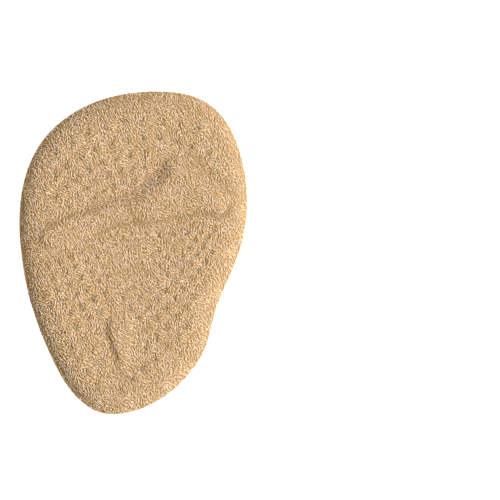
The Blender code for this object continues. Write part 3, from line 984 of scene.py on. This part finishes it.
def cloth_material():
    """The knitted ground cloth in the gaps between the tufts, with painted shade in the knit's hollows."""
    material, tree, shader = new_material("ground_cloth")
    waves = []
    for direction in ("X", "Y"):
        settings = {"wave_type": "BANDS", "bands_direction": direction, "wave_profile": "SIN"}
        wave = add_node(tree, "ShaderNodeTexWave", settings, Scale=KNIT_SCALE, Distortion=1.5, Detail=1.0)
        tree.links.new(object_place(tree), wave.inputs["Vector"])
        waves.append(wave.outputs["Fac"])
    knit = product(tree, *waves)
    cloudy = spread(tree, noise(tree, KNIT_CLOUD_SCALE), NOISE_RANGE, (-0.25, 0.25))
    share = add_node(tree, "ShaderNodeMath", {"operation": "ADD", "use_clamp": True}).outputs[0]
    tree.links.new(knit, share.node.inputs[0])
    tree.links.new(cloudy, share.node.inputs[1])
    # Painted shade in the knit's hollows, where the bump sinks, with the cloth's own cloudy tone
    colour = mixed_colour(tree, share, CLOTH_DARK_COLOUR, CLOTH_LIGHT_COLOUR)
    tree.links.new(colour, shader.inputs["Base Color"])
    set_roughness(tree, shader, ROUGHNESS_SCALE, CLOTH_ROUGHNESS)
    shader.inputs["Specular IOR Level"].default_value = CLOTH_SPECULAR
    add_bump(tree, shader, knit, 0.8, KNIT_DEPTH)
    return material


def foam_material():
    """Fine-celled latex foam, matt, with open pores that have painted shade in them, and a cloudy tone of its
    own.
    """
    material, tree, shader = new_material("latex_foam")
    cells = add_node(tree, "ShaderNodeTexVoronoi", Scale=PORE_SCALE, Randomness=1.0)
    tree.links.new(object_place(tree), cells.inputs["Vector"])
    pores = spread(tree, cells.outputs["Distance"], (0.0, PORE_REACH))
    cloudy = spread(tree, noise(tree, FOAM_CLOUD_SCALE, 3.0), NOISE_RANGE, (0.55, 1.0))
    share = product(tree, pores, cloudy, clamp=True)
    # Painted shade in the pores, where the bump sinks, with the foam's own cloudy tone
    colour = mixed_colour(tree, share, FOAM_DARK_COLOUR, FOAM_LIGHT_COLOUR)
    tree.links.new(colour, shader.inputs["Base Color"])
    set_roughness(tree, shader, FOAM_ROUGHNESS_SCALE, FOAM_ROUGHNESS)
    shader.inputs["Specular IOR Level"].default_value = FOAM_SPECULAR
    add_bump(tree, shader, pores, 0.6, PORE_DEPTH)
    return material


def floor_material():
    """A plain pale surface with the faintest unevenness."""
    material, tree, shader = new_material("pale_floor")
    share = spread(tree, noise(tree, FLOOR_CLOUD_SCALE), NOISE_RANGE)
    shaded = tuple(FLOOR_SHADE * part for part in FLOOR_COLOUR)
    colour = mixed_colour(tree, share, FLOOR_COLOUR, shaded)
    tree.links.new(colour, shader.inputs["Base Color"])
    shader.inputs["Roughness"].default_value = FLOOR_ROUGHNESS
    shader.inputs["Specular IOR Level"].default_value = FLOOR_SPECULAR
    shader.inputs["Emission Color"].default_value = (1.0, 1.0, 1.0, 1.0)
    shader.inputs["Emission Strength"].default_value = FLOOR_GLOW
    return material


def make_floor():
    """The pale surface that the pad lies on."""
    half = FLOOR_SIDE / 2
    mesh = bpy.data.meshes.new("floor")
    corners = [(-half, -half, 0), (half, -half, 0), (half, half, 0), (-half, half, 0)]
    mesh.from_pydata(corners, [], [(0, 1, 2, 3)])
    mesh.materials.append(floor_material())
    floor = bpy.data.objects.new("floor", mesh)
    bpy.context.scene.collection.objects.link(floor)


def make_lights():
    """A soft key lamp from the arch side and a plain white sky."""
    lamp = bpy.data.lights.new("key_lamp", "AREA")
    lamp.shape = "SQUARE"
    lamp.size = KEY_SIZE
    lamp.energy = KEY_POWER
    key = bpy.data.objects.new("key_lamp", lamp)
    bpy.context.scene.collection.objects.link(key)
    level = math.cos(KEY_ELEVATION)
    towards = Vector((level * math.cos(KEY_BEARING), level * math.sin(KEY_BEARING), math.sin(KEY_ELEVATION)))
    key.location = towards * KEY_DISTANCE
    key.rotation_euler = towards.to_track_quat("Z", "Y").to_euler()
    world = bpy.data.worlds.new("sky")
    world.use_nodes = True
    background = world.node_tree.nodes["Background"]
    background.inputs["Color"].default_value = (*SKY_COLOUR, 1.0)
    background.inputs["Strength"].default_value = SKY_STRENGTH
    bpy.context.scene.world = world
    bpy.context.scene.view_settings.view_transform = "Standard"


def make_camera():
    """A long lens straight above, with the pad where the photograph has it."""
    pixels_per_metre = PHOTO_PAD_LENGTH / PAD_LENGTH
    middle_x, middle_y = PHOTO_PAD_MIDDLE
    lens = bpy.data.cameras.new("camera")
    lens.sensor_width = SENSOR_WIDTH
    lens.lens = SENSOR_WIDTH * CAMERA_HEIGHT * pixels_per_metre / PHOTO_SIDE
    camera = bpy.data.objects.new("camera", lens)
    bpy.context.scene.collection.objects.link(camera)
    x = (PHOTO_SIDE / 2 - middle_x) / pixels_per_metre
    y = (middle_y - PHOTO_SIDE / 2) / pixels_per_metre
    camera.location = (x, y, CAMERA_HEIGHT)
    bpy.context.scene.camera = camera


def dress_pad():
    """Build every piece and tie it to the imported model."""
    foam = make_foam_body(foam_material())
    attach(foam, "root")
    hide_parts("foam_core")
    cloth = make_cover_cloth(cloth_material())
    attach(cloth, "root")
    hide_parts("fabric_cover")
    pile = make_pile(pile_material())
    for band in pile:
        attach(band, "root")


make_camera()
make_lights()
make_floor()
dress_pad()
